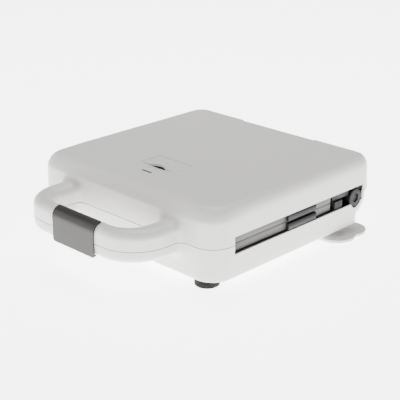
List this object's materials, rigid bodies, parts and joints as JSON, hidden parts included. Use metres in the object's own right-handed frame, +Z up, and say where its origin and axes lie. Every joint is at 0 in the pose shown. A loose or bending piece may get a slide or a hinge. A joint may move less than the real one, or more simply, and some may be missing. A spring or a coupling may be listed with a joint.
{
  "type": "donut maker",
  "caption": "Clamshell donut maker: hinged lid and base with ring-mould plates between them, a loop handle with a latch, side release slides and cord wraps underneath.",
  "frame": {"origin": "on the standing surface, under the middle of the object's box", "axes": "+Z up, +Y from the handle towards the hinge, +X to the right seen from the handle"},
  "size_m": [0.327, 0.3592, 0.097],
  "materials": {
    "white_plastic": "fine satin white moulding",
    "black_plastic": "satin black moulding",
    "latch_plastic": "satin warm charcoal moulding",
    "coated_plate": "grey non-stick coating on cast aluminium",
    "sheet_steel": "plain zinc-plated steel",
    "heater_sheath": "oxidised steel sheath",
    "ceramic": "unglazed steatite",
    "wire_sleeve": "silicone sleeve",
    "foot_rubber": "soft black rubber",
    "smoked_lens": "smoked translucent plastic",
    "lamp_glass": "clear amber bulb",
    "circuit_board": "green laminate",
    "cover_plastic": "polished white moulding"
  },
  "bodies": {
    "base": {"base_shell": "white_plastic", "base_frame": "black_plastic", "lower_reflector": "sheet_steel", "lower_heater": "heater_sheath", "lower_heater_clamps": "sheet_steel", "lower_thermostat": "black_plastic", "thermal_fuse": "ceramic", "lower_plate": "coated_plate", "lower_plate_hooks": "sheet_steel", "terminal_block": "ceramic", "cord_gland": "foot_rubber", "base_wires": "wire_sleeve", "hinge_bracket_left": "black_plastic", "hinge_bracket_right": "black_plastic", "hinge_pin_left": "sheet_steel", "hinge_pin_right": "sheet_steel", "front_foot_left": "foot_rubber", "front_foot_right": "foot_rubber", "rear_pad_left": "foot_rubber", "rear_pad_right": "foot_rubber", "cord_hook_left": "white_plastic", "cord_hook_right": "white_plastic", "base_screws": "sheet_steel", "lower_handle_insert": "black_plastic"},
    "lid": {"lid_shell": "white_plastic", "lid_frame": "black_plastic", "upper_reflector": "sheet_steel", "upper_heater": "heater_sheath", "upper_heater_clamps": "sheet_steel", "upper_thermostat": "black_plastic", "upper_plate": "coated_plate", "upper_plate_hooks": "sheet_steel", "indicator_cover": "cover_plastic", "window_lens": "smoked_lens", "slit_lens": "smoked_lens", "lamp_board": "circuit_board", "power_lamp": "lamp_glass", "ready_lamp": "lamp_glass", "hinge_arm_left": "black_plastic", "hinge_arm_right": "black_plastic", "lid_wires": "wire_sleeve", "lid_screws": "sheet_steel", "upper_handle_insert": "black_plastic", "latch_pin": "sheet_steel", "latch_spring": "sheet_steel"},
    "latch": {"latch": "latch_plastic"},
    "upper_release": {"upper_release_clip": "black_plastic"},
    "lower_release": {"lower_release_clip": "black_plastic"}
  },
  "joints": [
    {"name": "lid_hinge", "type": "hinge", "parent": "base", "child": "lid", "pos_m": [0, 0.14408, 0.046], "axis": [-1, 0, 0], "range_deg": [0, 95]},
    {"name": "latch_pivot", "type": "hinge", "parent": "lid", "child": "latch", "pos_m": [0.004, -0.16748, 0.0638], "axis": [-1, 0, 0], "range_deg": [0, 35], "stiffness_Nm_per_rad": 0.03, "springref_deg": -5.73},
    {"name": "upper_release_slide", "type": "slide", "parent": "lid", "child": "upper_release", "axis": [0, -1, 0], "range_m": [0, 0.006], "stiffness_N_per_m": 300},
    {"name": "lower_release_slide", "type": "slide", "parent": "base", "child": "lower_release", "axis": [0, -1, 0], "range_m": [0, 0.006], "stiffness_N_per_m": 300}
  ]
}
